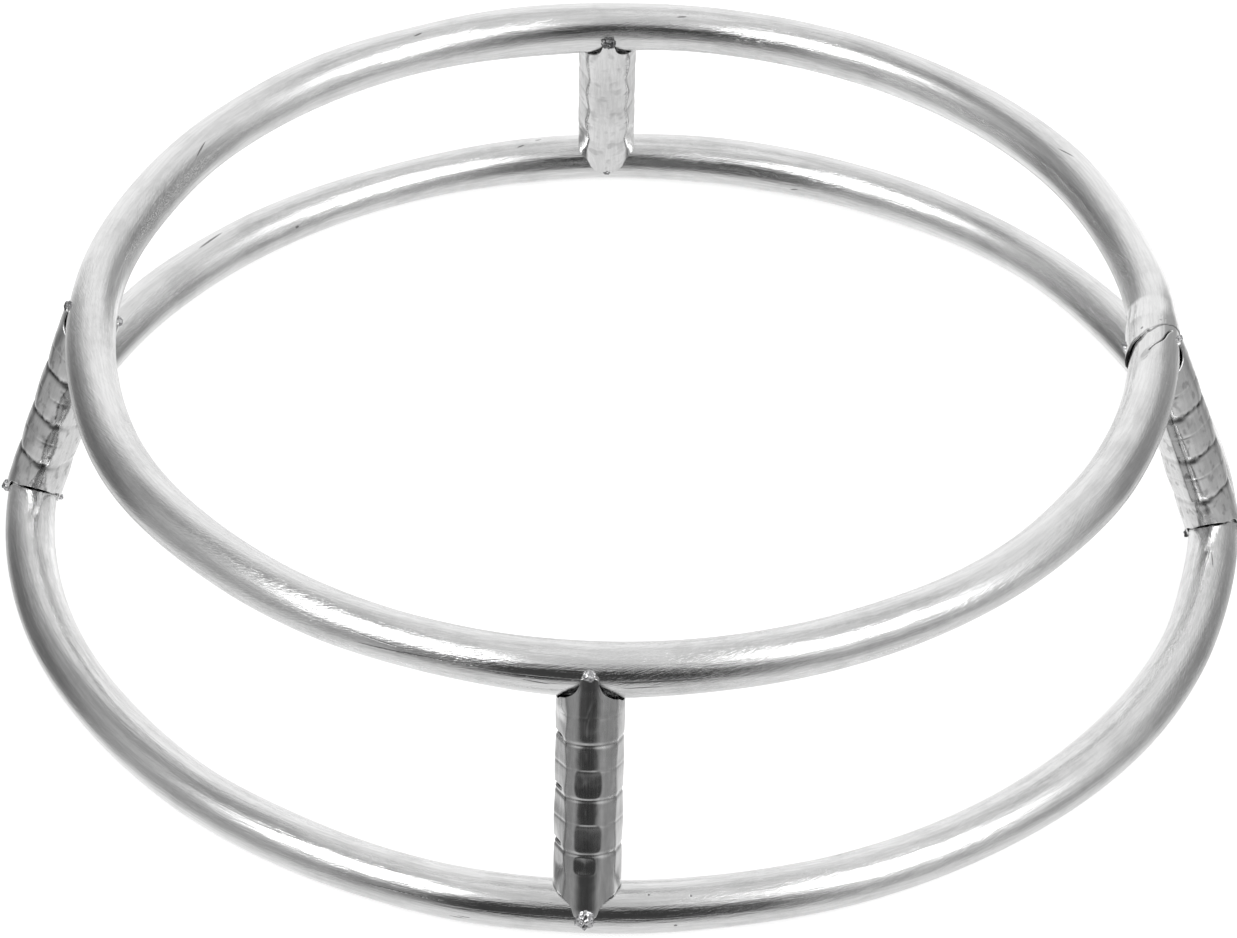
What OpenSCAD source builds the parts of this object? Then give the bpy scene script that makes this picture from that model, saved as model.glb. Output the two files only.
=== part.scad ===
// Pot stand: two rings of bent steel tube, held one above the other by four short posts.
// The wider ring is the foot, the narrower one carries the pot, and the posts lean in between
// them. Each post is a piece of wider tube whose saddle-shaped ends straddle the rings, and
// a small tack weld holds each of its sixteen tongues.
// Millimetres, +Z up, origin on the surface that the stand rests on, at the rings' centre.
// -Y is the front.

/* [Rings] */
// Outside diameter of the tube that both rings are bent from
ring_tube_d = 12.7; // [12:0.1:13.2]
// Wall of the ring tube
ring_wall = 0.5; // [0.4:0.05:0.7]
// Outside diameter of the lower ring
lower_ring_d = 320; // [280:1:360]
// Outside diameter of the upper ring
upper_ring_d = 281; // [240:1:310]
// Height from the foot to the top of the upper ring
stand_h = 70; // [62:1:100]

/* [Posts] */
// Outside diameter of the post tube
post_tube_d = 15.9; // [15.6:0.1:17]
// Wall of the post tube
post_wall = 0.5; // [0.4:0.05:0.8]
// Direction of the front post, degrees anticlockwise from +X
front_post_at = 267; // [250:0.5:290]
// Direction of the right post
right_post_at = 355.5; // [340:0.5:370]
// Direction of the back post
back_post_at = 91.8; // [70:0.2:110]
// Direction of the left post
left_post_at = 179.5; // [160:0.5:200]

/* [Pinch marks on the posts] */
// Number of shallow grooves pressed round each post
pinch_count = 3; // [1:1:3]
// Distance from one groove to the next
pinch_pitch = 13.8; // [8:0.1:14.5]
// Width of a groove
pinch_w = 1.8; // [1:0.1:3]
// Depth of a groove
pinch_depth = 0.4; // [0.1:0.05:0.6]
// How far the tube swells between its grooves
pinch_crown = 0.12; // [0.05:0.01:0.3]

/* [Saddle ends of the posts] */
// Gap left between the saddle and the ring
saddle_gap = 0.3; // [0.1:0.05:0.5]
// Width of a tongue at its tip
tongue_w = 5; // [3:0.1:6]
// How far a tongue reaches past the middle of the ring tube
tongue_past = 0.75; // [0.2:0.05:1.5]
// How far a tongue's tip is bent in towards the ring
tongue_dip = 0.35; // [0:0.05:0.4]
// Length of the bent part of a tongue
tongue_bend = 3.4; // [2:0.1:5]
// Radius of the punch that cuts the sides of a tongue
tongue_punch_r = 5.5; // [4:0.1:6]

/* [Tack welds] */
// Diameter of a tack weld's bead
tack_d = 4.4; // [3.4:0.1:5]
// How far the bead's middle lies past the tongue's tip
tack_past = 0.45; // [0:0.05:1]

/* [Joint in the upper ring] */
// Direction of the joint, degrees anticlockwise from +X
joint_at = 354.7; // [340:0.1:370]
// Gap between the tube's plain end and the inside of its belled end
bell_play = 0.1; // [0.05:0.05:0.3]
// Length of the belled end
bell_l = 11; // [10:0.5:20]
// Length of the flare between the tube and its belled end
flare_l = 3; // [2:0.1:4]
// How far the plain end goes into the belled end
plain_in = 9; // [5:0.5:9.5]
// Slant of the belled end's rim, degrees from a square cut
bell_slant = 36; // [0:1:40]
// Width of the slit beside the joint
slit_w = 0.35; // [0.2:0.05:0.8]
// Length of the slit
slit_l = 11; // [6:0.5:14]

/* [Hidden] */
POST_NAMES = ["front", "right", "back", "left"];
POST_AT = [front_post_at, right_post_at, back_post_at, left_post_at];
ENDS = ["bottom", "top"];
SIDES = ["outer", "inner"];

RING_STEPS = 240;
TUBE_STEPS = 72;
BEAD_STEPS = 64;
STEEL = [0.78, 0.79, 0.80];
POST_STEEL = [0.66, 0.67, 0.68];
WELD = [0.45, 0.45, 0.46];

// Stretch of ring, in degrees, that is cut out of a post's end
SADDLE_ARC = 12;
// A cut reaches this far past what it cuts
OVER = 1;
// The flare runs this far into the tube and the bell, inside their walls by the inset
LAP = 0.5;
FLARE_INSET = 0.1;

ring_r = ring_tube_d / 2;
lower_r = lower_ring_d / 2 - ring_r;
upper_r = upper_ring_d / 2 - ring_r;
lower_z = ring_r;
upper_z = stand_h - ring_r;

// A post runs from the middle of one ring tube to the middle of the other
post_r = post_tube_d / 2;
post_rise = upper_z - lower_z;
post_lean = atan2(lower_r - upper_r, post_rise);
post_span = norm([lower_r - upper_r, post_rise]);
pinch_t = [for (i = [0 : pinch_count - 1]) post_span / 2 + (i - (pinch_count - 1) / 2) * pinch_pitch];

// Wall of the post as half a section: [radius, distance along the post]
groove_rim_r = post_r - pinch_crown;
post_skin = concat(
    [[post_r - tongue_dip, -tongue_past], [post_r, tongue_bend]],
    [for (i = [0 : pinch_count - 1]) each concat(
        i > 0 ? [[post_r, (pinch_t[i - 1] + pinch_t[i]) / 2]] : [],
        [
            [groove_rim_r, pinch_t[i] - pinch_w / 2],
            [groove_rim_r - pinch_depth, pinch_t[i]],
            [groove_rim_r, pinch_t[i] + pinch_w / 2]
        ]
    )],
    [[post_r, post_span - tongue_bend], [post_r - tongue_dip, post_span + tongue_past]]
);
post_bore = [for (i = [len(post_skin) - 1 : -1 : 0]) [post_skin[i][0] - post_wall, post_skin[i][1]]];

bell_r = ring_r + bell_play + ring_wall;
// Length of tube that the slanting rim spans on each side of the joint, with room to spare
rim_reach = (bell_r + OVER) * tan(bell_slant) + OVER;
rim_block = 5 * bell_r;
// Slit in the tube beside the joint: its middle's place round the ring and round the tube
slit_back = 3.5;
slit_tilt = 14;
slit_turn = -29;
slit_h = 3;

// Degrees round the upper ring for a length of its tube
function upper_arc(length) = length / upper_r * 180 / PI;

// Solid or hollow tube bent round the Z axis, over part of a turn
module bent_tube(path_r, tube_r, wall, from = 0, sweep = 360) {
    rotate([0, 0, from])
        rotate_extrude(angle = sweep, $fn = RING_STEPS)
            translate([path_r, 0])
                difference() {
                    circle(tube_r, $fn = TUBE_STEPS);
                    circle(tube_r - wall, $fn = TUBE_STEPS);
                }
}

// The room that a ring tube takes up near a post, with a gap all round it
module ring_room(path_r, z, gap, at) {
    translate([0, 0, z])
        rotate([0, 0, at - SADDLE_ARC / 2])
            rotate_extrude(angle = SADDLE_ARC, $fn = RING_STEPS)
                translate([path_r, 0])
                    circle(ring_r + gap, $fn = TUBE_STEPS);
}

// Flare along +Z that widens the tube to its belled end
module flare() {
    skin = [[ring_r, -LAP], [ring_r, 0], [bell_r, flare_l], [bell_r, flare_l + LAP]];
    rotate_extrude($fn = TUBE_STEPS)
        polygon(concat(
            [for (p = skin) [p[0] - FLARE_INSET, p[1]]],
            [for (i = [len(skin) - 1 : -1 : 0]) [skin[i][0] - ring_wall + FLARE_INSET, skin[i][1]]]
        ));
}

module lower_ring() {
    color(STEEL)
        translate([0, 0, lower_z])
            bent_tube(lower_r, ring_r, ring_wall);
}

// Block that cuts the belled end to its slanting rim
module rim_cut(gap) {
    rotate([0, 0, joint_at])
        translate([upper_r, -gap, 0])
            rotate([0, 0, bell_slant])
                translate([-rim_block / 2, -rim_block, -rim_block / 2])
                    cube(rim_block);
}

// Belled end of the ring tube
module bell() {
    difference() {
        bent_tube(upper_r, bell_r, ring_wall, joint_at - upper_arc(rim_reach), upper_arc(rim_reach + bell_l));
        rim_cut(0);
    }
}

// The room that the upper ring takes up near a post, with its belled end and a gap all round it
module upper_ring_room(gap, at) {
    ring_room(upper_r, upper_z, gap, at);
    translate([0, 0, upper_z])
        difference() {
            rotate([0, 0, joint_at - upper_arc(rim_reach)])
                rotate_extrude(angle = upper_arc(rim_reach + bell_l + flare_l + LAP), $fn = RING_STEPS)
                    translate([upper_r, 0])
                        circle(bell_r + gap, $fn = TUBE_STEPS);
            rim_cut(gap);
        }
}

module slit() {
    rotate([0, 0, joint_at - upper_arc(slit_back)])
        translate([upper_r, 0, 0])
            rotate([0, -slit_tilt, 0])
                translate([0, 0, ring_r])
                    rotate([0, 0, slit_turn])
                        cube([slit_w, slit_l, slit_h], center = true);
}

// One tube bent to a ring, whose plain end goes into its belled end
module upper_ring() {
    tube_from = joint_at + upper_arc(bell_l + flare_l);
    plain_to = joint_at + upper_arc(plain_in);
    color(STEEL)
        translate([0, 0, upper_z])
            difference() {
                union() {
                    bent_tube(upper_r, ring_r, ring_wall, tube_from, 360 + plain_to - tube_from);
                    rotate([0, 0, tube_from])
                        translate([upper_r, 0, 0])
                            rotate([90, 0, 0])
                                flare();
                    bell();
                }
                slit();
            }
}

// Puts children on a post's axis: Z up the post, X outwards, origin in the lower ring's tube
module at_post(at) {
    rotate([0, 0, at])
        translate([lower_r, 0, lower_z])
            rotate([0, -post_lean, 0])
                children();
}

// Post tube with its grooves, before its ends are cut
module post_tube() {
    rotate_extrude($fn = TUBE_STEPS)
        polygon(concat(post_skin, post_bore));
}

// Punches that narrow both tongues of one end to their tips
module tongue_punches(t) {
    for (side = [-1, 1])
        translate([0, side * (tongue_w / 2 + tongue_punch_r), t])
            rotate([0, 90, 0])
                cylinder(h = post_tube_d + 2 * OVER, r = tongue_punch_r, center = true, $fn = TUBE_STEPS);
}

module post(at) {
    color(POST_STEEL)
        difference() {
            at_post(at)
                difference() {
                    post_tube();
                    tongue_punches(-tongue_past);
                    tongue_punches(post_span + tongue_past);
                }
            ring_room(lower_r, lower_z, saddle_gap, at);
            upper_ring_room(saddle_gap, at);
        }
}

// Bead of weld metal over one tongue's tip, which fills the room between tongue and ring
module tack(at, end, side) {
    past = tongue_past + tack_past;
    t = end == "bottom" ? -past : post_span + past;
    color(WELD)
        difference() {
            at_post(at)
                rotate([0, 0, side == "outer" ? 0 : 180])
                    translate([ring_r, 0, t])
                        sphere(d = tack_d, $fn = BEAD_STEPS);
            at_post(at)
                post_tube();
            if (end == "bottom")
                ring_room(lower_r, lower_z, 0, at);
            else
                upper_ring_room(0, at);
        }
}

lower_ring();
upper_ring();
for (i = [0 : len(POST_NAMES) - 1]) {
    post(POST_AT[i]);
    for (end = ENDS, side = SIDES)
        tack(POST_AT[i], end, side);
}
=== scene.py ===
# %% [markdown]
# # A pot stand of bent steel tube
# The stand has a wide ring to stand on and a narrower ring that carries the pot. Four short
# posts of wider tube hold them apart. The solid model of the stand is loaded first, and each
# cell after that makes one piece or one finish in the same place as the solid that it stands for.

# %% Load the solid model and keep its box
import math
import random

import bmesh
import bpy
from mathutils import Matrix, Vector, noise


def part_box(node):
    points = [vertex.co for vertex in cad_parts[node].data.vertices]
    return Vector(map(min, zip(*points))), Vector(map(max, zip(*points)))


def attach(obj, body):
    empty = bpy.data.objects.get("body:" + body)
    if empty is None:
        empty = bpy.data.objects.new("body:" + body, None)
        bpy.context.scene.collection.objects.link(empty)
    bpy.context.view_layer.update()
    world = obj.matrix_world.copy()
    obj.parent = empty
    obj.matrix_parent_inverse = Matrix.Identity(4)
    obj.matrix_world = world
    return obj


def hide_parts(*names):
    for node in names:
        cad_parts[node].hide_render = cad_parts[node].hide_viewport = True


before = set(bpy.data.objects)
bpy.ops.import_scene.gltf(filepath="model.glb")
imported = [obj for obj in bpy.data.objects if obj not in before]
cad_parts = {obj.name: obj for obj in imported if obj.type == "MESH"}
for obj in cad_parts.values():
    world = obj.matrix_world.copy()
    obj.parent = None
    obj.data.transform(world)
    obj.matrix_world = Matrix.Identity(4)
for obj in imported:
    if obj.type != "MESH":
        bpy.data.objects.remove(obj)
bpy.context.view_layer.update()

# %% [markdown]
# ## Sizes that all pieces share
# The rings' sizes come from the boxes of their solids. The upper ring's width is taken along Y,
# away from its belled end. A post runs from the middle of the lower tube to the middle of the
# upper one, so its lean and its length follow from the rings.

# %% Measure the rings and the posts
MM = 0.001
lower_low, lower_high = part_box("lower_ring")
upper_low, upper_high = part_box("upper_ring")
tube_r = (lower_high[2] - lower_low[2]) / 2
lower_r = (lower_high[1] - lower_low[1]) / 2 - tube_r
upper_r = (upper_high[1] - upper_low[1]) / 2 - tube_r
lower_z = (lower_low[2] + lower_high[2]) / 2
upper_z = (upper_low[2] + upper_high[2]) / 2
post_lean = math.atan2(lower_r - upper_r, upper_z - lower_z)
post_span = math.hypot(lower_r - upper_r, upper_z - lower_z)
POST_AT = {"front": 267, "right": 355.5, "back": 91.8, "left": 179.5}
print(f"Tube {2 * tube_r / MM:.2f} mm across")
print(f"Rings {2 * lower_r / MM:.1f} and {2 * upper_r / MM:.1f} mm across at the tube's middle")
print(f"Posts {post_span / MM:.2f} mm long, leaning {math.degrees(post_lean):.2f} degrees")

# %% [markdown]
# ## The camera
# The camera looks down at the stand from the front with a long lens, as the photographer's did.
# Its three axes are written as the columns of a matrix, because that states a view exactly.

# %% Place the camera
CAMERA_AT = Vector((-0.000889, -0.92307, 0.75820))
LOOK_AT = Vector((-0.000889, 0, 0.014642))
CAMERA_ROLL = math.radians(0.188)
SENSOR = 36
LENS = 132.74

camera_data = bpy.data.cameras.new("camera")
camera_data.sensor_fit = "HORIZONTAL"
camera_data.sensor_width = SENSOR
camera_data.lens = LENS
camera = bpy.data.objects.new("camera", camera_data)
bpy.context.scene.collection.objects.link(camera)

ahead = (LOOK_AT - CAMERA_AT).normalized()
level = ahead.cross(Vector((0, 0, 1))).normalized()
upright = level.cross(ahead)
right = level * math.cos(CAMERA_ROLL) + upright * math.sin(CAMERA_ROLL)
above = upright * math.cos(CAMERA_ROLL) - level * math.sin(CAMERA_ROLL)
turn_matrix = Matrix((right, above, -ahead)).transposed().to_4x4()
camera.matrix_world = Matrix.Translation(CAMERA_AT) @ turn_matrix
bpy.context.scene.camera = camera
bpy.context.scene.view_settings.view_transform = "Standard"
print("Camera", round((LOOK_AT - CAMERA_AT).length, 3), "m away")

# %% [markdown]
# ## The studio
# Polished steel shows its surroundings more than itself. The studio is written as a short list
# of soft patches of light and dark, each with its direction, its reach and its brightness. The
# world's nodes mix them one over the other, so the same studio surrounds the stand from each side.
# Azimuth 0 is away from the camera, and it grows to the right.

# %% Node helpers
def add_math(nodes, links, kind, *values):
    """Adds a math node and feeds it numbers or sockets."""
    node = nodes.new("ShaderNodeMath")
    node.operation = kind
    for i, value in enumerate(values):
        if isinstance(value, (int, float)):
            node.inputs[i].default_value = value
        else:
            links.new(value, node.inputs[i])
    return node.outputs[0]


def add_range(nodes, links, value, low, high, to_low=0.0, to_high=1.0):
    """Adds a smooth step from one level to another."""
    node = nodes.new("ShaderNodeMapRange")
    node.interpolation_type = "SMOOTHSTEP"
    links.new(value, node.inputs["Value"])
    node.inputs["From Min"].default_value = low
    node.inputs["From Max"].default_value = high
    node.inputs["To Min"].default_value = to_low
    node.inputs["To Max"].default_value = to_high
    return node.outputs["Result"]


def add_mix(nodes, links, factor, first, second):
    """Mixes two grey levels."""
    node = nodes.new("ShaderNodeMix")
    node.data_type = "FLOAT"
    for socket, value in ((node.inputs[0], factor), (node.inputs[2], first), (node.inputs[3], second)):
        if isinstance(value, (int, float)):
            socket.default_value = value
        else:
            links.new(value, socket)
    return node.outputs[0]


# %% Mix the studio's patches
ROOM_LEVEL = 0.36
# Azimuth, elevation, half width, half height, softness of the edge, brightness
PATCHES = [
    (0, -90, 400, 59, 0.35, 0.74),      # floor
    (-20, -58, 60, 16, 0.6, 0.92),      # floor, brighter behind the stand
    (0, 90, 400, 25, 0.5, 0.63),        # ceiling
    (-40, 76, 44, 12, 0.5, 0.97),       # lit part of the ceiling
    (35, 50, 80, 20, 0.5, 0.76),        # wall over the backdrop, right
    (0, 60, 75, 2.2, 0.6, 0.42),        # dark edge between wall and ceiling
    (-70, 45, 32, 30, 0.7, 0.32),       # wall over the backdrop, left
    (-63, -5, 20, 25, 0.5, 0.16),       # grey wall left of the backdrop
    (65, -2, 15, 27, 0.6, 0.26),        # grey wall right of the backdrop
    (-132, 42, 38, 23, 0.8, 0.82),      # glow round the left softbox
    (128, 38, 38, 32, 0.8, 0.88),       # glow round the right softbox
    (-125, 43, 22, 11, 0.75, 1.7),      # left softbox
    (125, 42, 26, 12, 0.75, 1.7),       # right softbox
    (184, 9, 33, 31, 0.4, 0.045),       # dark room round the camera
    (0, 0, 34, 38, 0.12, 0.93),         # backdrop
    (27, -20, 7, 12, 0.4, 1.15),        # bright side of the backdrop
]
SHAPE_POWER = 2.6

world = bpy.data.worlds.new("studio")
bpy.context.scene.world = world
world.use_nodes = True
nodes, links = world.node_tree.nodes, world.node_tree.links
nodes.clear()
direction = nodes.new("ShaderNodeTexCoord").outputs["Generated"]
split = nodes.new("ShaderNodeSeparateXYZ")
links.new(direction, split.inputs[0])
turn = add_math(nodes, links, "ARCTAN2", split.outputs[0], split.outputs[1])
azimuth = add_math(nodes, links, "DEGREES", turn)
rise = add_math(nodes, links, "ARCSINE", split.outputs[2])
elevation = add_math(nodes, links, "DEGREES", rise)

brightness = ROOM_LEVEL
for patch_az, patch_el, half_w, half_h, soft, patch_level in PATCHES:
    off_az = add_math(nodes, links, "SUBTRACT", azimuth, patch_az)
    wrapped = add_math(nodes, links, "WRAP", off_az, 180, -180)
    across = add_math(nodes, links, "DIVIDE", add_math(nodes, links, "ABSOLUTE", wrapped), half_w)
    off_el = add_math(nodes, links, "SUBTRACT", elevation, patch_el)
    upwards = add_math(nodes, links, "DIVIDE", add_math(nodes, links, "ABSOLUTE", off_el), half_h)
    outwards = add_math(
        nodes, links, "ADD",
        add_math(nodes, links, "POWER", across, SHAPE_POWER),
        add_math(nodes, links, "POWER", upwards, SHAPE_POWER),
    )
    reach = add_math(nodes, links, "POWER", outwards, 1 / SHAPE_POWER)
    outside = add_range(nodes, links, reach, 1 - soft, 1 + soft)
    brightness = add_mix(nodes, links, outside, patch_level, brightness)
print("Studio of", len(PATCHES), "patches,", len(nodes), "nodes")

# %% [markdown]
# The camera itself sees a plain white background, while the steel and the floor see the studio.

# %% Show white to the camera
studio_light = nodes.new("ShaderNodeBackground")
links.new(brightness, studio_light.inputs["Color"])
white = nodes.new("ShaderNodeBackground")
white.inputs["Color"].default_value = (1, 1, 1, 1)
ray = nodes.new("ShaderNodeLightPath")
choose = nodes.new("ShaderNodeMixShader")
links.new(ray.outputs["Is Camera Ray"], choose.inputs[0])
links.new(studio_light.outputs[0], choose.inputs[1])
links.new(white.outputs[0], choose.inputs[2])
links.new(choose.outputs[0], nodes.new("ShaderNodeOutputWorld").inputs["Surface"])

# %% [markdown]
# The floor is white paper. It keeps a faint shadow of the stand, and the steel looks through it
# at the studio's own floor.

# %% Lay the floor
FLOOR_HALF = 4.0
PAPER_TONE = 0.8
PAPER_GLOW = 0.62
floor_bm = bmesh.new()
bmesh.ops.create_grid(floor_bm, x_segments=1, y_segments=1, size=FLOOR_HALF)
floor_mesh = bpy.data.meshes.new("floor")
floor_bm.to_mesh(floor_mesh)
floor_bm.free()
floor = bpy.data.objects.new("floor", floor_mesh)
bpy.context.scene.collection.objects.link(floor)

paper = bpy.data.materials.new("white_paper")
paper.use_nodes = True
nodes, links = paper.node_tree.nodes, paper.node_tree.links
nodes.clear()
matt = nodes.new("ShaderNodeBsdfDiffuse")
matt.inputs["Color"].default_value = (PAPER_TONE, PAPER_TONE, PAPER_TONE, 1)
glow = nodes.new("ShaderNodeEmission")
glow.inputs["Strength"].default_value = PAPER_GLOW
both = nodes.new("ShaderNodeAddShader")
links.new(matt.outputs[0], both.inputs[0])
links.new(glow.outputs[0], both.inputs[1])
clear = nodes.new("ShaderNodeBsdfTransparent")
ray = nodes.new("ShaderNodeLightPath")
choose = nodes.new("ShaderNodeMixShader")
links.new(ray.outputs["Is Glossy Ray"], choose.inputs[0])
links.new(both.outputs[0], choose.inputs[1])
links.new(clear.outputs[0], choose.inputs[2])
links.new(choose.outputs[0], nodes.new("ShaderNodeOutputMaterial").inputs["Surface"])
floor_mesh.materials.append(paper)
print("Floor", FLOOR_HALF * 2, "m wide")

# %% [markdown]
# Two large soft lamps stand behind the camera, left and right, where the softboxes are. They
# give the shadow its direction.

# %% Hang two soft lamps
LAMP_FAR = 2.5
LAMP_SIZE = 1.2
LAMP_POWER = 8
for name, lamp_az, lamp_el in (("lamp_left", -128, 46), ("lamp_right", 128, 44)):
    lamp_data = bpy.data.lights.new(name, "AREA")
    lamp_data.shape = "DISK"
    lamp_data.size = LAMP_SIZE
    lamp_data.energy = LAMP_POWER
    lamp = bpy.data.objects.new(name, lamp_data)
    bpy.context.scene.collection.objects.link(lamp)
    az, el = math.radians(lamp_az), math.radians(lamp_el)
    towards = Vector((math.sin(az) * math.cos(el), math.cos(az) * math.cos(el), math.sin(el)))
    lamp.location = towards * LAMP_FAR
    lamp.rotation_euler = towards.to_track_quat("Z", "Y").to_euler()
    print(name, [round(c, 2) for c in lamp.location])

# %% [markdown]
# ## The steel
# The tube is bright stainless steel with fine lines along it from drawing and polishing. A
# metallic surface needs little colour of its own. The lines are a noise that is stretched along
# the tube, read from the piece's own UV map: its first number is the place along the tube, its
# second the place round it. Turning the second into a sine and a cosine closes the pattern.
# Broader streaks bend the reflections, and slanted scratches lie over both in patches.

# %% Noise along a tube
TUBE_MAP = "tube_map"
# Vertex attribute that holds stains and burnt beads, and also painted shade and painted dark reflections
STAIN_AND_PAINTED_LIGHT = "stain_and_painted_light"
SCRATCH_TWIST = 50
# How dark the middle of a pit or scratch is
MARK_PEAK = 0.7


def tube_noise(nodes, links, length, angle, lengthwise, scale, detail):
    """Noise on a tube's wall that is stretched along it and closed round it."""
    wrap = nodes.new("ShaderNodeCombineXYZ")
    links.new(add_math(nodes, links, "MULTIPLY", length, lengthwise), wrap.inputs[0])
    links.new(add_math(nodes, links, "COSINE", angle), wrap.inputs[1])
    links.new(add_math(nodes, links, "SINE", angle), wrap.inputs[2])
    texture = nodes.new("ShaderNodeTexNoise")
    links.new(wrap.outputs[0], texture.inputs["Vector"])
    texture.inputs["Scale"].default_value = scale
    texture.inputs["Detail"].default_value = detail
    texture.inputs["Roughness"].default_value = 0.6
    return texture.outputs["Fac"]


def add_mark(nodes, links, length, turns, ragged, mark):
    """One pit or scratch: dark inside and 0 outside, with a ragged edge."""
    at, degrees, half_long, half_wide, slant = mark
    from_middle = add_math(nodes, links, "SUBTRACT", length, at * MM)
    along = add_math(nodes, links, "DIVIDE", from_middle, half_long * MM)
    off = add_math(nodes, links, "SUBTRACT", turns, degrees / 360)
    off = add_math(nodes, links, "WRAP", off, 0.5, -0.5)
    round_mm = add_math(nodes, links, "MULTIPLY", off, 2 * math.pi * tube_r / MM)
    leaning = add_math(nodes, links, "MULTIPLY_ADD", along, -slant * half_long, round_mm)
    across = add_math(nodes, links, "DIVIDE", leaning, half_wide)
    reach = add_math(
        nodes, links, "ADD",
        add_math(nodes, links, "MULTIPLY", along, along),
        add_math(nodes, links, "MULTIPLY", across, across),
    )
    reach = add_math(nodes, links, "ADD", reach, ragged)
    return add_range(nodes, links, reach, 0.5, 1.5, MARK_PEAK, 0)


# %% [markdown]
# The finish adds up what lies on the metal. A film and the streaks tint it; marks, stains, painted
# shade and painted dark reflections darken it and make it rougher, and all three patterns of lines
# raise its surface a little.

# %% Make the steel finishes
# Tinted metal as a share of the clean metal's colour, and the grey that marks, stains, painted shade and
# painted dark reflections darken the metal to
TINTED = 0.58
MARK_AND_SHADE_GREY = 0.06
HEIGHT_UNIT = 0.1 * MM


def steel(name, colour, rough, fine_height, streak_height, scratch_height, dirt, marks=()):
    """Polished tube: heights of the fine lines, streaks and scratches in tenths of a millimetre."""
    made = bpy.data.materials.new(name)
    made.use_nodes = True
    nodes, links = made.node_tree.nodes, made.node_tree.links
    shader = nodes["Principled BSDF"]
    shader.inputs["Metallic"].default_value = 1
    uv = nodes.new("ShaderNodeUVMap")
    uv.uv_map = TUBE_MAP
    split = nodes.new("ShaderNodeSeparateXYZ")
    links.new(uv.outputs[0], split.inputs[0])
    length, turns = split.outputs[0], split.outputs[1]
    angle = add_math(nodes, links, "MULTIPLY", turns, 2 * math.pi)
    twisted = add_math(nodes, links, "MULTIPLY_ADD", length, -SCRATCH_TWIST, angle)
    fine = tube_noise(nodes, links, length, angle, 0.6, 34, 3)
    streaks = tube_noise(nodes, links, length, angle, 14, 9, 3)
    scratches = tube_noise(nodes, links, length, twisted, 9, 30, 2)

    object_place = nodes.new("ShaderNodeTexCoord").outputs["Object"]
    film = nodes.new("ShaderNodeTexNoise")
    links.new(object_place, film.inputs["Vector"])
    film.inputs["Scale"].default_value = 55
    film.inputs["Detail"].default_value = 5
    film.inputs["Roughness"].default_value = 0.65
    dull = add_range(nodes, links, film.outputs["Fac"], 0.42, 0.75)
    patches = nodes.new("ShaderNodeTexNoise")
    links.new(object_place, patches.inputs["Vector"])
    patches.inputs["Scale"].default_value = 18
    scratched = add_range(nodes, links, patches.outputs["Fac"], 0.4, 0.62, 0.15, 1)

    # The vertex attribute holds stains and also painted shade and painted dark reflections; it darkens the
    # colour as a mark does
    stain_and_painted_light = nodes.new("ShaderNodeAttribute")
    stain_and_painted_light.attribute_name = STAIN_AND_PAINTED_LIGHT
    dark = stain_and_painted_light.outputs["Fac"]
    for mark in marks:
        dark = add_math(nodes, links, "MAXIMUM", dark, add_mark(
            nodes, links, length, turns,
            add_math(nodes, links, "MULTIPLY_ADD", scratches, 1.6, -0.8), mark,
        ))

    tint = nodes.new("ShaderNodeMix")
    tint.data_type = "RGBA"
    streaked = add_range(nodes, links, streaks, 0.62, 0.4, 0, 0.5)
    covered = add_math(nodes, links, "ADD", dull, streaked)
    links.new(add_math(nodes, links, "MULTIPLY", covered, dirt), tint.inputs[0])
    tint.inputs[6].default_value = (*colour, 1)
    tint.inputs[7].default_value = (*(c * TINTED for c in colour), 1)
    darken = nodes.new("ShaderNodeMix")
    darken.data_type = "RGBA"
    links.new(add_math(nodes, links, "MINIMUM", dark, 1), darken.inputs[0])
    links.new(tint.outputs[2], darken.inputs[6])
    darken.inputs[7].default_value = (MARK_AND_SHADE_GREY, MARK_AND_SHADE_GREY, MARK_AND_SHADE_GREY, 1)
    links.new(darken.outputs[2], shader.inputs["Base Color"])

    lined = add_range(nodes, links, fine, 0.3, 0.7, rough * 0.75, rough * 1.3)
    filmed = add_math(nodes, links, "MULTIPLY_ADD", dull, 0.08, lined)
    links.new(add_math(nodes, links, "MULTIPLY_ADD", dark, 0.25, filmed), shader.inputs["Roughness"])

    height = add_math(nodes, links, "MULTIPLY", fine, fine_height)
    height = add_math(nodes, links, "MULTIPLY_ADD", streaks, streak_height, height)
    scored = add_math(nodes, links, "MULTIPLY", scratches, scratched)
    height = add_math(nodes, links, "MULTIPLY_ADD", scored, scratch_height, height)
    height = add_math(nodes, links, "MULTIPLY_ADD", dark, -0.3, height)
    bump = nodes.new("ShaderNodeBump")
    bump.inputs["Strength"].default_value = 1
    bump.inputs["Distance"].default_value = HEIGHT_UNIT
    links.new(height, bump.inputs["Height"])
    links.new(bump.outputs[0], shader.inputs["Normal"])
    print(name, "rough", rough, "nodes", len(nodes))
    return made


# %% [markdown]
# The rings carry a few pits and scratches. Each row gives the direction on the ring, the angle
# round the tube, half the length and half the width in millimetres, and how steeply it slants.

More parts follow.
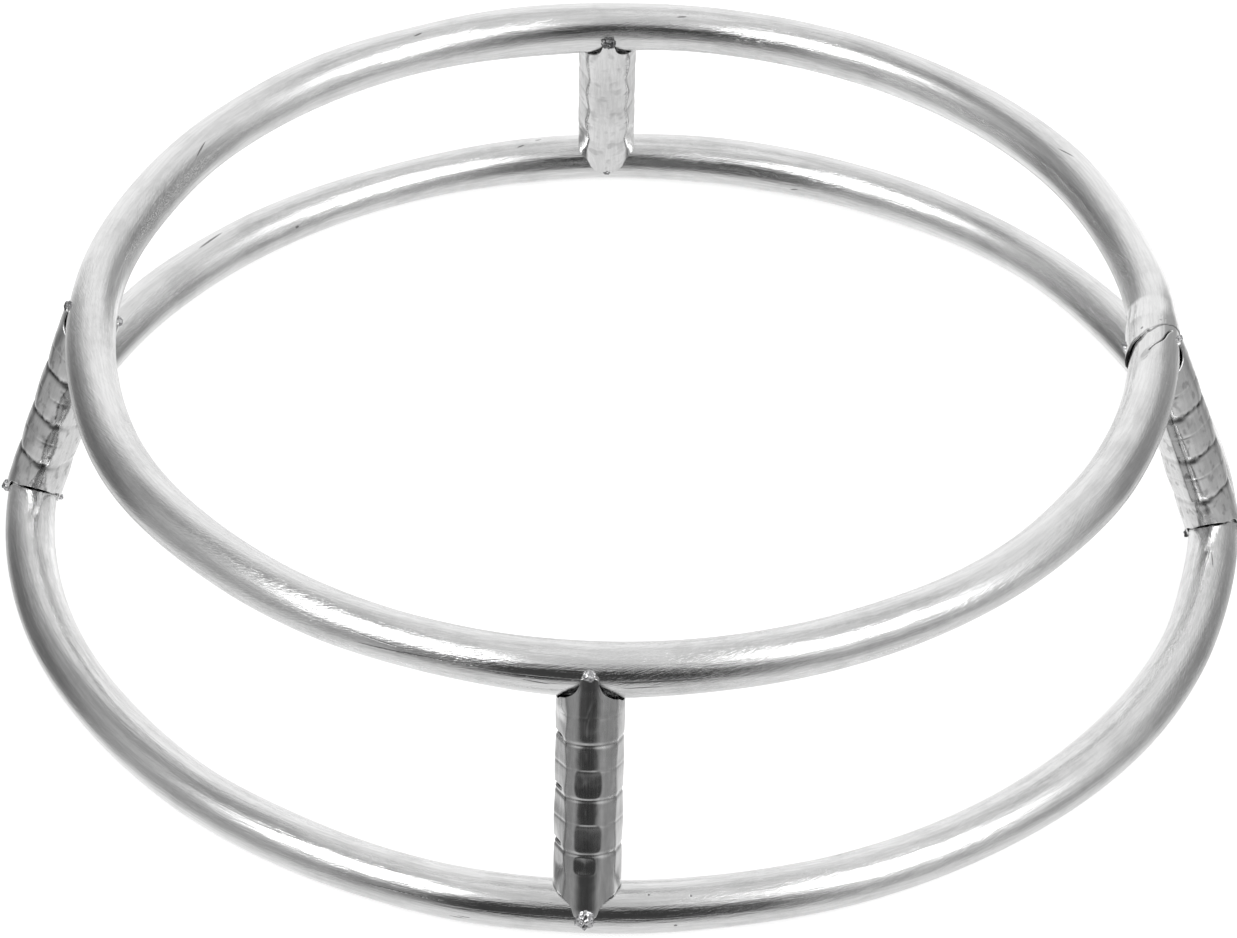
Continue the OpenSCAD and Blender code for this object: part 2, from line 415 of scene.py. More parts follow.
# %% Finish both rings and the posts
FOOT_SEAM = 179.5
POT_SEAM = 354.7
FOOT_MARKS = [
    (138.0, 88, 4.5, 0.35, 0.1), (101, 102, 1.0, 0.25, 0.3), (99, 84, 0.9, 0.2, 0.2),
    (128.2, 164, 0.6, 0.4, 0), (70.6, 189, 1.1, 0.18, 0.2), (347.4, 84, 2.6, 0.14, 0.2),
    (272.4, 70, 0.25, 0.25, 0), (276, 62, 0.3, 0.25, 0), (274.6, -4, 0.4, 0.3, 0),
    (256.8, -8, 1.5, 0.12, 0), (256.2, -13, 1.8, 0.12, 0), (290, 118, 0.8, 0.16, 0.2),
    (262, 17, 12, 0.16, 0), (274, 15, 13, 0.14, 0.01), (251, 22, 10, 0.14, 0.03),
]
POT_MARKS = [
    (115, 106, 1.2, 0.25, 0.2), (83, 118, 1.3, 0.2, 0.1), (149, 129, 2.8, 0.2, 0.25),
    (29, 95, 2.4, 0.18, 0.3), (248, 14, 9, 0.16, 0.06), (246, 27, 6, 0.14, -0.05),
    (252, 19, 8, 0.14, 0.02), (262, 15, 9, 0.2, 0), (274, 13, 10, 0.18, 0.01),
    (272, -2, 4, 0.14, 0.05), (262, 3, 3, 0.12, -0.1), (347.2, 66, 0.5, 0.1, 2.5),
    (347.9, 60, 0.4, 0.1, 2.5), (346.6, 54, 0.5, 0.1, 2), (356.4, 66, 0.3, 0.25, 0.5),
    (355.9, 78, 0.35, 0.2, 0.5), (355.6, 118, 0.25, 0.3, 0),
]


def along_ring(marks, seam, path_r):
    """Turns the marks' directions into places along the tube, in millimetres."""
    return [(math.radians((row[0] - seam) % 360) * path_r / MM, *row[1:]) for row in marks]


foot_marks = along_ring(FOOT_MARKS, FOOT_SEAM, lower_r)
pot_marks = along_ring(POT_MARKS, POT_SEAM, upper_r)
foot_steel = steel("foot_ring_steel", (0.92,) * 3, 0.09, 0.18, 0.8, 0.6, 0.35, foot_marks)
pot_steel = steel("pot_ring_steel", (0.92,) * 3, 0.09, 0.18, 0.7, 0.8, 0.35, pot_marks)
post_steel = steel("post_steel", (0.91,) * 3, 0.12, 0.04, 0.12, 0.05, 0.4)

# %% [markdown]
# ## Tubes from a grid
# Each tube starts as a flat grid, as sheet steel does before it is rolled. A vertex of that
# grid says how far along and how far round the tube it is. A shape function rolls the sheet up
# and bends it, and the two long edges are merged.

# %% Tube helpers
MERGE = 0.01 * MM


def tube_grid(sides, steps):
    """Flat sheet whose X runs round the tube and Y along it."""
    bm = bmesh.new()
    bmesh.ops.create_grid(bm, x_segments=sides, y_segments=steps, size=0.5)
    return bm


def roll(bm, length_at, place):
    """Lays the UV map that the steel reads, rolls the sheet up with place(part of the length,
    angle round the tube), which gives a point and its number for stains, painted shade and
    painted dark reflections, and closes the seam."""
    uv_layer = bm.loops.layers.uv.new(TUBE_MAP)
    stain_and_light_layer = bm.verts.layers.float.new(STAIN_AND_PAINTED_LIGHT)
    for face in bm.faces:
        for loop in face.loops:
            loop[uv_layer].uv = (length_at(loop.vert.co.y + 0.5), loop.vert.co.x)
    for vert in bm.verts:
        vert.co, vert[stain_and_light_layer] = place(vert.co.y + 0.5, vert.co.x * 2 * math.pi)
    bmesh.ops.remove_doubles(bm, verts=bm.verts[:], dist=MERGE)


def finish_piece(bm, name, material, node):
    """Turns a bmesh into a smooth piece that stands for a solid."""
    bmesh.ops.recalc_face_normals(bm, faces=bm.faces[:])
    for face in bm.faces:
        face.smooth = True
    mesh = bpy.data.meshes.new(name)
    bm.to_mesh(mesh)
    bm.free()
    mesh.materials.append(material)
    piece = bpy.data.objects.new(name, mesh)
    bpy.context.scene.collection.objects.link(piece)
    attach(piece, "root")
    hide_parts(node)
    print(name, len(mesh.vertices), "vertices")
    return piece


def smooth_step(x):
    """Smooth rise from 0 at 0 to 1 at 1."""
    x = min(max(x, 0), 1)
    return x * x * (3 - 2 * x)


def hump(place, middle, reach):
    """Smooth rise from 0 to 1 and back, within reach degrees of the middle."""
    off = abs((place - middle + 180) % 360 - 180)
    return 0.5 + 0.5 * math.cos(math.pi * off / reach) if off < reach else 0.0


# %% [markdown]
# ## The foot ring
# The real ring was bent by hand or on a simple roller: its tube is a little wider here, a little
# narrower there, and the ring is not quite round. Each row of the list says where, how far it
# reaches, how far the ring is pushed out and how much wider the tube is, in millimetres.

# %% Make the foot ring
LOWER_HUMPS = [
    (44, 18, 0.5, -0.5), (78, 15, -0.2, 0.5), (116, 18, -0.4, -0.45), (146, 12, 0.2, 0.3),
    (216, 16, -0.4, 0.0), (238, 12, -0.2, 0.3), (256, 10, 0.45, 0.1), (280, 12, -0.35, -0.05),
    (322, 22, 0.35, 0.45), (346, 10, -0.4, 0.2),
]
RING_SIDES = 64
RING_STEPS = 560
RIPPLE = 0.05


def wobble(humps, at):
    """How far a ring is pushed out and widened in one direction, in metres."""
    push = sum(row[2] * hump(at, row[0], row[1]) for row in humps)
    widen = sum(row[3] * hump(at, row[0], row[1]) for row in humps)
    return push * MM, widen * MM


def ripple(at, angle, seed):
    """Fine unevenness of a bent tube's surface, in metres."""
    turn = math.radians(at)
    spot = Vector((7 * math.cos(turn) + seed, 7 * math.sin(turn), 0.9 * math.sin(angle)))
    return noise.noise(spot + Vector((0, 0, 0.9 * math.cos(angle)))) * RIPPLE * MM


def ring_point(path_r, z, at, angle, r_across, r_up):
    """Point on a bent tube: direction in degrees, angle round the tube from outwards to up."""
    turn = math.radians(at)
    out = path_r + r_across * math.cos(angle)
    return Vector((out * math.cos(turn), out * math.sin(turn), z + r_up * math.sin(angle)))


def lower_point(along, angle):
    """Point of the foot ring's wall, which has no stain."""
    at = FOOT_SEAM + 360 * along
    push, widen = wobble(LOWER_HUMPS, at)
    thick = tube_r + ripple(at, angle, 0)
    # The tube still rests on the floor where it is wider
    upwards = thick + (widen if math.sin(angle) > 0 or widen < 0 else 0)
    return ring_point(lower_r + push, lower_z, at, angle, thick + widen, min(upwards, tube_r + widen)), 0.0


lower_bm = tube_grid(RING_SIDES, RING_STEPS)
roll(lower_bm, lambda part: part * 2 * math.pi * lower_r, lower_point)
foot_ring = finish_piece(lower_bm, "foot_ring", foot_steel, "lower_ring")

# %% [markdown]
# ## The pot ring
# This ring is one open tube. One end is belled: it widens so that the plain end slides in. Its
# rim was sawn at a slant. The plain end lies against the top and the outside of the bell, so the
# bell stands proud only below and inside.

# %% Make the pot ring
UPPER_HUMPS = [
    (16, 16, -0.8, -0.35), (104, 14, 0.0, 0.45), (126, 16, 0.55, 0.25), (158, 16, -0.55, 0.1),
    (208, 18, 0.85, 0.2), (250, 12, -0.2, -0.15), (312, 18, 0.45, -0.3), (330, 10, 0.25, 0.1),
]
BELL_LENGTH = 6 * MM
FLARE_LENGTH = 9 * MM
PLAIN_IN = 9 * MM
BELL_PROUD = 0.6 * MM
BELL_OFF = 0.42 * MM
BELL_OFF_ANGLE = math.radians(215)
RIM_SLANT = math.radians(36)
RIM_TOP_LIFT = 0.9 * MM
TUBE_WALL = 0.5 * MM
# Upper ring's underside is pressed down over the front and back posts: direction, reach, millimetres
SAGS = [(267, 14, 0.9), (95, 14, 1.1)]
# Slit beside the joint: place along the tube from the joint and angle round it, at both ends
SLIT_FROM = (2.2, 48)
SLIT_TO = (-8.6, 105)
SLIT_HALF = 0.28
SLIT_DEEP = 1.1
SLIT_WINDOW = (-12, 5, 36, 122)
SLIT_CUTS = 3
upper_length = 2 * math.pi * upper_r + PLAIN_IN
turn_length = 2 * math.pi * upper_r


def joint_spacing(along):
    """Spends a third of the steps on the last 60 mm beside the joint."""
    near = 30 * MM
    if along < 1 / 6:
        return near * along * 6
    if along > 5 / 6:
        return upper_length - near * (1 - along) * 6
    return near + (upper_length - 2 * near) * (along - 1 / 6) * 1.5


def joint_marks(length, angle):
    """Depth in metres of the slit and the dent at its end, and the painted shade laid in both."""
    from_joint = (length - turn_length) / MM
    degrees = math.degrees(angle)
    run = (from_joint - SLIT_FROM[0]) / (SLIT_TO[0] - SLIT_FROM[0])
    middle = SLIT_FROM[1] + (SLIT_TO[1] - SLIT_FROM[1]) * run + 3 * math.sin(9 * run)
    off = abs(degrees - middle) / 360 * 2 * math.pi * tube_r / MM
    inside = smooth_step(run * 12) * smooth_step((1 - run) * 6)
    line = inside * max(0.0, 1 - off / SLIT_HALF)
    leaning = degrees - SLIT_TO[1] - 6 + 4 * (from_joint - SLIT_TO[0] + 1.5)
    dent = math.exp(-((from_joint - SLIT_TO[0] + 1.5) / 2.2) ** 2 - (leaning / 9) ** 2)
    depth = SLIT_DEEP * MM * smooth_step(line * 2) + 0.35 * MM * dent
    # Painted shade: the slit's line and its dent are darkened
    return depth, min(1.0, 1.8 * line) + 0.2 * dent


def upper_point(along, angle):
    """Point of the pot ring's wall with its bell, rim and slit, and its number for stains and painted shade:
    painted shade in the slit and on its dent, and a darker rim.
    """
    length = joint_spacing(along)
    at = POT_SEAM + math.degrees(length / upper_r)
    push, widen = wobble(UPPER_HUMPS, at)
    thick = tube_r + widen + ripple(at, angle, 40)
    belled = 1 - smooth_step((length - BELL_LENGTH) / FLARE_LENGTH)
    near_rim = max(0.0, 1 - length / BELL_LENGTH)
    slant = (tube_r + BELL_PROUD) * math.cos(angle) * math.tan(RIM_SLANT)
    slant += RIM_TOP_LIFT * max(0.0, math.sin(angle))
    # Ragged rim, roughest where it faces inwards
    ragged = noise.noise(Vector((2.5 * math.cos(angle), 2.5 * math.sin(angle), 3)))
    ragged += 0.5 * noise.noise(Vector((8 * math.cos(angle), 8 * math.sin(angle), 7)))
    slant += (0.35 + 0.5 * smooth_step(0.5 - math.cos(angle))) * MM * ragged
    at += math.degrees(near_rim * slant / upper_r)
    thick += belled * BELL_PROUD
    off = belled * BELL_OFF
    depth, stain_and_painted_light = joint_marks(length, angle)
    # The rim is darker, most on its inner and lower side
    low_side = smooth_step(0.6 - math.cos(angle) * 0.5 - math.sin(angle) * 0.6)
    stain_and_painted_light += (0.5 + 0.5 * low_side) * math.exp(-((length / MM / (0.25 + 0.2 * low_side)) ** 2))
    sag = sum(row[2] * hump(at, row[0], row[1]) for row in SAGS) * MM * smooth_step(-math.sin(angle))
    return ring_point(
        upper_r + push + off * math.cos(BELL_OFF_ANGLE),
        upper_z + off * math.sin(BELL_OFF_ANGLE),
        at, angle, thick - depth, thick - depth + sag,
    ), stain_and_painted_light


def cut_window(bm):
    """Divides the sheet's cells finely where the slit runs."""
    low, high, from_angle, to_angle = SLIT_WINDOW
    window = []
    for face in bm.faces:
        middle = face.calc_center_median()
        from_joint = (joint_spacing(middle.y + 0.5) - turn_length) / MM
        if low < from_joint < high and from_angle < middle.x * 360 < to_angle:
            window.append(face)
    edges = list({edge for face in window for edge in face.edges})
    bmesh.ops.subdivide_edges(bm, edges=edges, cuts=SLIT_CUTS, use_grid_fill=True)
    print("Slit's window:", len(window), "cells divided")


upper_bm = tube_grid(RING_SIDES, RING_STEPS)
cut_window(upper_bm)
roll(upper_bm, joint_spacing, upper_point)
pot_ring = finish_piece(upper_bm, "pot_ring", pot_steel, "upper_ring")
wall = pot_ring.modifiers.new("wall", "SOLIDIFY")
wall.thickness = TUBE_WALL
wall.offset = -1

# %% [markdown]
# ## The posts
# Each post is wider tube with three pinched grooves, made by the tool that held it, and soft
# cushions between them. Both ends are cut to a saddle: the sides stop where the ring passes, and
# two tongues reach past it. The saddle line is where a tube meets the ring's room, so it is
# worked out from the two radii, and the tongue's sides are the arc of a round punch.

# %% Shape of a post's end
POST_R = 7.95 * MM
POST_WALL = 0.5 * MM
SADDLE_R = tube_r + 0.3 * MM
# Tongue's tip below the ring's middle, half width at the tip, radius of the punch, how far the
# corners beside the tongue are cut back and how far the tip is rounded, in millimetres
PLAIN_END = (0.75, 2.4, 5.5, 0.3, 0.5)
END_FORMS = {
    ("front", "top", "outer"): (0.55, 2.2, 5.5, 0.55, 0.5),
    ("front", "bottom", "outer"): (-0.2, 3.0, 4.6, 0.4, 0.5),
    ("back", "top", "inner"): (0.3, 1.8, 5.5, 0.7, 0.5),
    ("back", "bottom", "inner"): (-1.9, 4.9, 2.5, -0.3, 1.9),
}


def end_line(where, end, angle):
    """How far above the ring's middle a post's edge lies, by the angle round the post."""
    outer = smooth_step(math.cos(angle) + 0.5)
    forms = (END_FORMS.get((where, end, side), PLAIN_END) for side in ("outer", "inner"))
    past, half, punch_r, cut, tip = (MM * (o * outer + i * (1 - outer)) for o, i in zip(*forms))
    across = abs(POST_R * math.sin(angle))
    inwards = abs(POST_R * math.cos(angle))
    if across < half:
        return -past + tip * (across / half) ** 3
    side = min(half + punch_r - across, punch_r)
    punch = tip - past + math.sqrt(punch_r ** 2 - side ** 2)
    saddle = math.sqrt(SADDLE_R ** 2 - inwards ** 2) if inwards < SADDLE_R else -past
    return max(punch, saddle) + cut * smooth_step((across / MM - 4.4) / 3.2)


saddle_edge = end_line("left", "top", math.pi / 2) / MM
print("Edge at the saddle", round(saddle_edge, 2), "mm above the ring's middle")

# %% [markdown]
# The tool that held a post left its own marks: grooves, flat facets, and on the front post pads
# and notches too. Each kind has its own short list in millimetres along the post or degrees
# round it, where 0 faces outwards.

# %% Sizes of the posts' marks
# Places of the grooves and of the faint lines between them, along the post
GROOVES = (16.5, 30.3, 44.1)
PITCH = GROOVES[1] - GROOVES[0]
FAINT_LINES = (24.0, 37.8, 51.0)
# A tongue's reach past the ring's middle, and the stretch over which an end's shape fades out
TONGUE_PAST = 0.75 * MM
WARP = 13 * MM
# How far a tongue's tip is bent in, and the length of the bend
TONGUE_DIP = 0.35
TONGUE_BEND = 3.4
# Half width outwards and sideways, shift of the grooves along the post, their depth and reach
POST_FORMS = {
    "front": (7.6, 8.05, 0.0, 0.22, 0.55),
    "right": (7.2, 7.95, -2.0, 0.22, 0.9),
    "back": (7.5, 7.95, -1.0, 0.06, 0.8),
    "left": (7.3, 7.95, -2.0, 0.22, 1.0),
}
# How far a post is bowed outwards in the middle
BOWS = {"right": 0.7}
# Swell of the cushions between the grooves, outwards and sideways
CUSHIONS = {"front": (0.2, 0.08), "right": (0.2, 0.16), "back": (0.1, 0.1), "left": (0.2, 0.16)}
# Flat facets: angle of their middle and distance from the axis as a part of the radius
FACETS = {
    "front": ((-65, 0.905), (75, 0.95)),
    "right": ((-40, 0.965), (-128, 0.955), (60, 0.96)),
    "back": ((112, 0.93), (-112, 0.93)),
    "left": ((44, 0.965), (132, 0.955), (-60, 0.96)),
}
# Sharpness of the facets' edges, and how far they swing round the post in degrees
FACET_EDGE = 14
FACET_WAVE = {"front": 2.5, "right": 1.0, "back": 4.0, "left": 1.5}
# Notches in the front post's left side: their places, middle and reach round the post
NOTCHES = (17.5, 31.5, 44.5)
NOTCH_AT = -84
NOTCH_REACH = 32
# Pads pressed into the front post's face, and the dark blocks over them: from, to, middle, half width
PADS = ((16.9, 24.2, 0.3, 3.1), (30.9, 38.0, 0.2, 3.1), (11.6, 15.9, -0.4, 2.4))
BLOCKS = ((25.4, 29.4, -0.7, 1.6), (38.9, 43.2, -0.6, 1.7), (45.2, 58.0, -0.3, 2.0))
# Painted dark reflection, a strip down the side of the left and right posts: angle and half width in degrees
REFLECTION_STRIPS = {"left": (88.5, 10.5), "right": (-98.5, 7.5)}
# Painted shade and dirt in the grooves: how dark they are on the outer and on the inner side of each post
GROOVE_SHADE_AND_DIRT = {"front": (0.12, 0.1), "right": (0.7, 0.12), "back": (0.04, 0.04), "left": (0.9, 0.1)}
print(len(GROOVES), "grooves on each post,", round(PITCH, 1), "mm apart")


# %% Press the marks into a post
def groove_line(t, middle, reach):
    """Soft line across the post: 1 in its middle."""
    return math.exp(-(((t - middle) / reach) ** 2))


def post_profile(where, t, angle):
    """How far the tube's wall stands out of true, in millimetres, at t millimetres along it."""
    depth, reach = POST_FORMS[where][3:]
    outwards, sideways = CUSHIONS[where]
    swell = outwards * math.cos(angle) ** 2 + sideways * math.sin(angle) ** 2
    out = sum(-depth * groove_line(t, groove, reach) for groove in GROOVES)
    out += sum(-0.06 * groove_line(t, faint, 0.35) for faint in FAINT_LINES)
    if GROOVES[0] - PITCH / 2 < t < GROOVES[2] + PITCH / 2:
        return out + swell * (math.sin(math.pi * (t - GROOVES[0]) / PITCH) ** 2 - 0.5)
    return out + swell * 0.5


def tongue_dip(t):
    """How far a tongue is bent in, in millimetres, as a negative number."""
    span = post_span / MM
    past = min(t + TONGUE_PAST / MM, span + TONGUE_PAST / MM - t)
    return -TONGUE_DIP * max(0.0, 1 - past / TONGUE_BEND) ** 1.5


def notch(t, degrees):
    """Sharp pinches in the front post's left side, in millimetres."""
    reach = hump(degrees, NOTCH_AT, NOTCH_REACH)
    return sum(-1.6 * reach * max(0.0, 1 - abs(t - at) / 0.65) for at in NOTCHES)


def box_reach(t, y, box):
    """0 in the middle of a box with round corners, 1 on its edge."""
    low, high, middle, half = box
    return (abs((y - middle) / half) ** 4 + abs((2 * t - low - high) / (high - low)) ** 4) ** 0.25


def front_marks(t, y):
    """Pads and a crease on the front post's face, in millimetres."""
    out = 0.0
    for pad in PADS:
        reach = box_reach(t, y, pad)
        out -= 0.26 * max(0.0, 1 - reach ** 2) - 0.03 * math.exp(-(((reach - 1.06) / 0.08) ** 2))
    crease = -0.7 + 1.9 * smooth_step((t - 48) / 9)
    depth = 0.13 * sum(groove_line(t, at, 1.3) for at in (14.2, 27.4, 34, 41.3))
    depth += 0.17 * smooth_step((t - 45) / 2) * smooth_step((56.5 - t) / 4)
    return out - depth * math.exp(-(((y - crease) / 0.42) ** 2))


def wave(where, t):
    """How far the facets' edges swing round the post, in degrees."""
    return FACET_WAVE[where] * math.cos(2 * math.pi * (t - GROOVES[0]) / PITCH)


# %% [markdown]
# Heat from the welding, grease and polish left each post stained in its own way. A number on each
# vertex holds these stains, and it also holds painted shade in the grooves and notches and painted
# dark reflections on the posts' faces and sides. The steel reads it and turns it into a darker,
# rougher metal.

# %% Stain a post and paint its shade and dark reflections
def cloud(degrees, t, width, length, seed):
    """Noise on a post's wall, whose grain has a width in degrees and a length in millimetres."""
    return noise.noise(Vector((degrees / width, t / length, seed)))


def post_stain_and_painted_light(where, t, degrees, y):
    """Dirt and smudges on a post, painted shade in its grooves and notches, and painted dark reflections,
    from 0 to 1.
    """
    # Painted shade and dirt along the grooves, as dark as the table gives for the post's outer and inner side
    outer, inner = GROOVE_SHADE_AND_DIRT[where]
    spot = Vector((degrees / 9, t / 1.6, POST_AT[where]))
    ragged = noise.noise(spot) * 0.5 + noise.noise(spot * 2.7) * 0.3
    share = inner + (outer - inner) * smooth_step(0.5 + 1.5 * math.cos(math.radians(degrees)))
    stain_and_painted_light = sum(groove_line(t, groove + 0.6 * ragged, 0.8) for groove in GROOVES) * share * (1 + ragged)
    # Painted dark reflection over the front post's face, with painted dark lines along its two edges, darker
    # towards its sides and in patches over the pads and blocks
    if where == "front":
        left_edge, right_edge = -43 - wave(where, t), 57 + wave(where, t) / 2
        face = smooth_step((degrees - left_edge) / 3) * smooth_step((right_edge - degrees) / 3)
        stain_and_painted_light += face * (0.2 + 0.22 * smooth_step((abs(y) - 2.6) / 2) + 0.1 * ragged)
        stain_and_painted_light += 0.6 * math.exp(-(((degrees - left_edge) / 2.4) ** 2))
        stain_and_painted_light += 0.3 * math.exp(-(((degrees - right_edge) / 2.2) ** 2))
        for box in PADS + BLOCKS:
            stain_and_painted_light += 0.4 * face * (1 - smooth_step((box_reach(t, y, box) - 0.7 + 0.2 * ragged) / 0.35))
        # Painted shade in the notches
        notch_shade = sum(max(0.0, 1 - abs(t - at) / 0.75) for at in NOTCHES)
        stain_and_painted_light += 2.2 * notch_shade * hump(degrees, NOTCH_AT, NOTCH_REACH)
    if where == "back":
        smudge = cloud(degrees, t, 20, 3.5, 5) + 0.3 * cloud(degrees, t, 12, 1.2, 9)
        stain_and_painted_light += 0.22 * smooth_step((smudge - 0.1) / 0.5)
        # Painted dark reflection lines along the back post's two edges
        for side in (112, -112):
            edge = side + (wave(where, t) + 21) * (1 if side > 0 else -1)
            off = (degrees - edge + 180) % 360 - 180
            stain_and_painted_light += 0.55 * math.exp(-((off / 2.5) ** 2))
    # Painted dark reflection: a strip with a darker edge line down the post's side
    if where in REFLECTION_STRIPS:
        middle, half = REFLECTION_STRIPS[where]
        if t < GROOVES[0]:
            half *= 0.3 + 0.07 * (GROOVES[0] - t)
        elif where == "left":
            half *= 0.35 + 0.65 * abs(math.sin(math.pi * (t - GROOVES[0]) / PITCH))
        off = abs((degrees - middle + 180) % 360 - 180) / half + 0.25 * ragged
        stain_and_painted_light += 0.42 * (1 - smooth_step((off - 0.85) / 0.3)) + 0.35 * math.exp(-(((off - 0.95) / 0.22) ** 2))
        smudge = cloud(degrees, t, 14, 3, 2) + 0.5 * cloud(degrees, t, 5, 1.2, 4)
        stain_and_painted_light += 0.35 * smooth_step((smudge - 0.15) / 0.5)
    return min(max(stain_and_painted_light, 0.0), 1.0)


# %% Roll the posts
POST_SIDES = 160
POST_STEPS = 290


def facet_radius(where, degrees, radius, t):
    """Flattens the round tube where the maker's tool pressed it."""
    for middle, part in FACETS[where]:
        middle += wave(where, t) * (1 if middle > 0 else -1)
        off = math.radians((degrees - middle + 180) % 360 - 180)
        if abs(off) < 1.2:
            flat = radius * part / math.cos(off)
            # Soft minimum, so that a facet has a rounded edge
            radius = -math.log(math.exp(-FACET_EDGE * radius) + math.exp(-FACET_EDGE * flat)) / FACET_EDGE
    return radius


def post_place(at):
    """Matrix that puts a post's own axes in place: Z up the post and X outwards."""
    return (
        Matrix.Rotation(math.radians(at), 4, "Z")
        @ Matrix.Translation((lower_r, 0, lower_z))
        @ Matrix.Rotation(-post_lean, 4, "Y")
    )


def make_post(where, at):
    """One post, rolled from its sheet with its ends, marks, stains, painted shade and painted dark
    reflections.
    """
    wide_out, wide_side, groove_shift = POST_FORMS[where][:3]
    place = post_place(at)
    full = post_span + 2 * TONGUE_PAST
    seed = Vector((0, 0, at))

    def post_point(along, angle):
        from_low, from_high = full * along, full * (1 - along)
        t = from_low - TONGUE_PAST
        t += (end_line(where, "bottom", angle) + TONGUE_PAST) * max(0.0, 1 - from_low / WARP)
        t -= (end_line(where, "top", angle) + TONGUE_PAST) * max(0.0, 1 - from_high / WARP)
        t_mm = t / MM
        degrees = math.degrees(angle)
        end_fit = smooth_step((min(from_low, from_high) / WARP - 0.25) / 0.75)
        round_r = 1 / math.hypot(math.cos(angle) / wide_out, math.sin(angle) / wide_side)
        shifted = t_mm - groove_shift
        radius = round_r + (facet_radius(where, degrees, round_r, shifted) - round_r) * end_fit
        radius += post_profile(where, shifted, angle) * end_fit + tongue_dip(t_mm)
        y = radius * math.sin(angle) if math.cos(angle) > 0 else 9.0
        if where == "front":
            radius += notch(t_mm, degrees) + front_marks(t_mm, y)
        bow = BOWS.get(where, 0.0) * math.sin(math.pi * min(max(t / post_span, 0.0), 1.0))
        radius += bow * max(0.0, math.cos(angle))
        spot = Vector((math.cos(angle) * 1.6, math.sin(angle) * 1.6, t_mm / 6))
        radius += 0.10 * noise.noise(spot + seed) * end_fit
        radius += 0.03 * noise.noise(spot * 3 + seed) * end_fit
        radius *= MM
        point = place @ Vector((radius * math.cos(angle), radius * math.sin(angle), t))
        return point, post_stain_and_painted_light(where, shifted, degrees, y)

    bm = tube_grid(POST_SIDES, POST_STEPS)
    roll(bm, lambda part: part * full, post_point)
    post = finish_piece(bm, "post_" + where + "_tube", post_steel, "post_" + where)
    wall = post.modifiers.new("wall", "SOLIDIFY")
    wall.thickness = POST_WALL
    wall.offset = -1
    return post


posts = [make_post(where, at) for where, at in POST_AT.items()]

# %% [markdown]
# ## The tack welds
# A small bead of metal was melted over each tongue's tip. Its skin is grainy, light in one place
# and dark in the next, and a few beads are burnt. No two are alike, so each starts as a ball
# whose surface is pushed in and out by a seeded noise.

# %% Make the weld metal
DARK_GRAIN = (0.42, 0.42, 0.43, 1)
LIGHT_GRAIN = (0.8, 0.8, 0.81, 1)
BURNT = (0.05, 0.05, 0.05, 1)
GRAIN_HEIGHT = 0.00004

weld_metal = bpy.data.materials.new("weld_metal")
weld_metal.use_nodes = True
nodes, links = weld_metal.node_tree.nodes, weld_metal.node_tree.links
shader = nodes["Principled BSDF"]
shader.inputs["Metallic"].default_value = 1
grain = nodes.new("ShaderNodeTexNoise")
grain.inputs["Scale"].default_value = 900
grain.inputs["Detail"].default_value = 4
links.new(nodes.new("ShaderNodeTexCoord").outputs["Object"], grain.inputs["Vector"])
tone = nodes.new("ShaderNodeMix")
tone.data_type = "RGBA"
tone.inputs[6].default_value = DARK_GRAIN
tone.inputs[7].default_value = LIGHT_GRAIN
links.new(add_range(nodes, links, grain.outputs["Fac"], 0.35, 0.65), tone.inputs[0])
burnt = nodes.new("ShaderNodeAttribute")
burnt.attribute_name = STAIN_AND_PAINTED_LIGHT
darken = nodes.new("ShaderNodeMix")
darken.data_type = "RGBA"
links.new(burnt.outputs["Fac"], darken.inputs[0])
links.new(tone.outputs[2], darken.inputs[6])
darken.inputs[7].default_value = BURNT
links.new(darken.outputs[2], shader.inputs["Base Color"])
links.new(add_range(nodes, links, grain.outputs["Fac"], 0.3, 0.7, 0.28, 0.14), shader.inputs["Roughness"])
bump = nodes.new("ShaderNodeBump")
bump.inputs["Distance"].default_value = GRAIN_HEIGHT
links.new(grain.outputs["Fac"], bump.inputs["Height"])
links.new(bump.outputs[0], shader.inputs["Normal"])

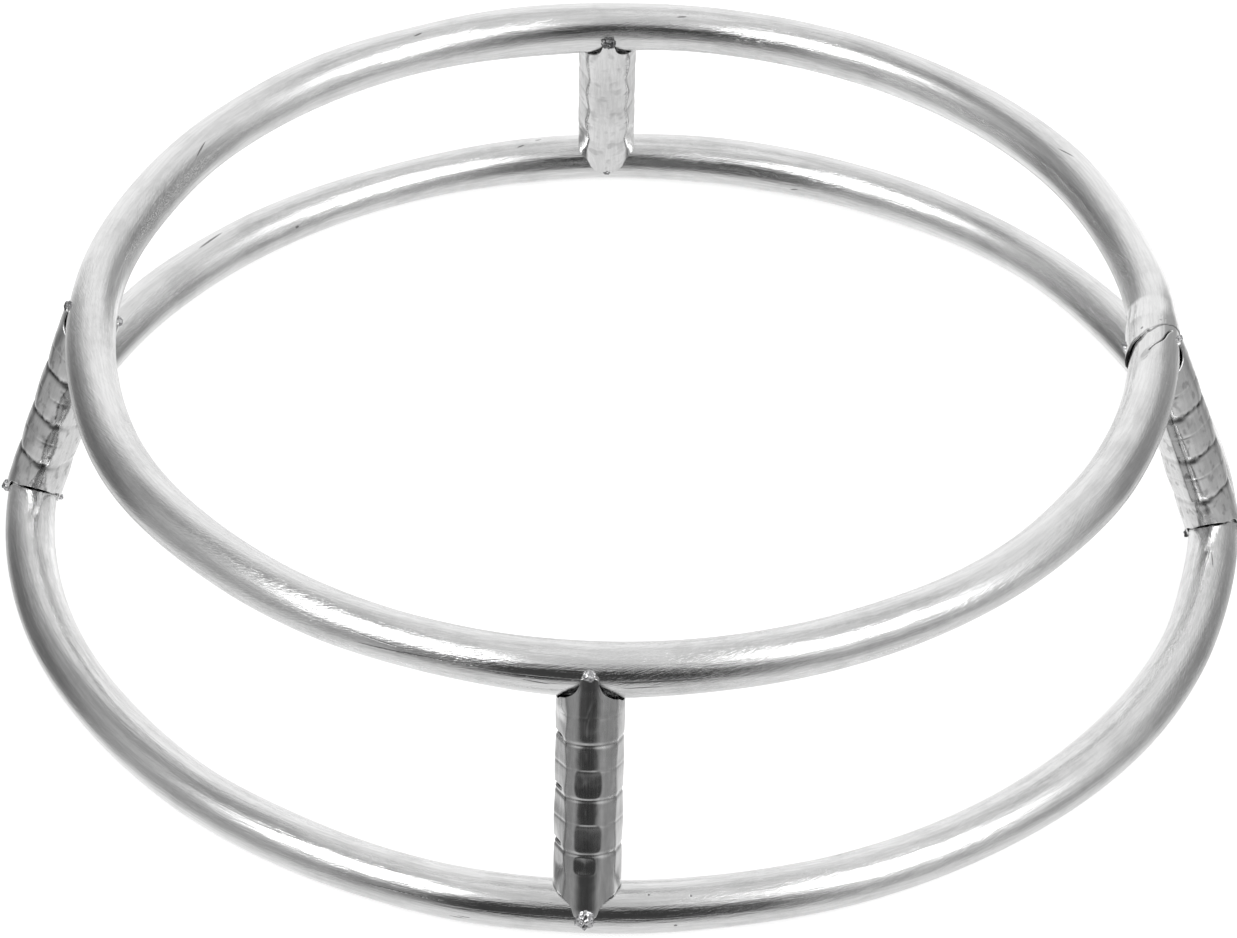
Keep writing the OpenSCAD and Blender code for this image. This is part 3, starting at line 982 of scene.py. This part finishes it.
# %% Make the beads
# Distance from the post's axis, past the ring's middle and radius in millimetres
PLAIN_BEAD = (6.8, 1.0, 1.6)
BEAD_FORMS = {
    ("front", "bottom", "outer"): (7.2, 0.0, 2.1),
    ("front", "top", "outer"): (7.2, 0.8, 1.3),
    ("back", "top", "inner"): (6.9, 0.9, 1.6),
    ("back", "top", "outer"): (6.6, 0.2, 1.2),
    ("back", "bottom", "inner"): (7.0, -1.9, 0.9),
    ("left", "top", "outer"): (6.5, 0.2, 1.2),
    ("left", "top", "inner"): (6.8, -0.4, 1.2),
    ("left", "bottom", "inner"): (7.3, 0.3, 0.8),
    ("right", "top", "outer"): (6.6, 0.4, 0.9),
    ("right", "bottom", "inner"): (7.0, 0.6, 1.1),
}
# Beads that are burnt dark, from 0 to 1
BURNT_BEADS = {
    ("back", "top", "inner"): 0.75,
    ("back", "bottom", "inner"): 0.5,
    ("right", "bottom", "inner"): 0.7,
    ("left", "top", "outer"): 0.5,
}


def make_bead(where, at, end, side, seed):
    """One ragged bead over the tip of a tongue."""
    random.seed(seed)
    place = post_place(at)
    out, past, size = (MM * n for n in BEAD_FORMS.get((where, end, side), PLAIN_BEAD))
    t = -past if end == "bottom" else post_span + past
    x = out if side == "outer" else -out
    stretch = Vector((0.85, random.uniform(0.95, 1.2), random.uniform(0.85, 1.05))) * size
    bm = bmesh.new()
    bmesh.ops.create_icosphere(bm, subdivisions=4, radius=1)
    stain_and_light_layer = bm.verts.layers.float.new(STAIN_AND_PAINTED_LIGHT)
    for vert in bm.verts:
        vert[stain_and_light_layer] = BURNT_BEADS.get((where, end, side), 0.0)
        way = vert.co.normalized()
        lump = 1 + 0.45 * noise.noise(way * 1.8 + Vector((seed * 3.1, 0, 0)))
        lump += 0.2 * noise.noise(way * 5 + Vector((0, seed * 2.3, 0)))
        vert.co = place @ (Vector((x, 0, t)) + Vector(w * s for w, s in zip(way, stretch)) * lump)
    name = "bead_" + where + "_" + end + "_" + side
    return finish_piece(bm, name, weld_metal, "tack_" + where + "_" + end + "_" + side)


beads = []
for where, at in POST_AT.items():
    for end in ("bottom", "top"):
        for side in ("outer", "inner"):
            beads.append(make_bead(where, at, end, side, len(beads) + 1))
print(len(beads), "beads")
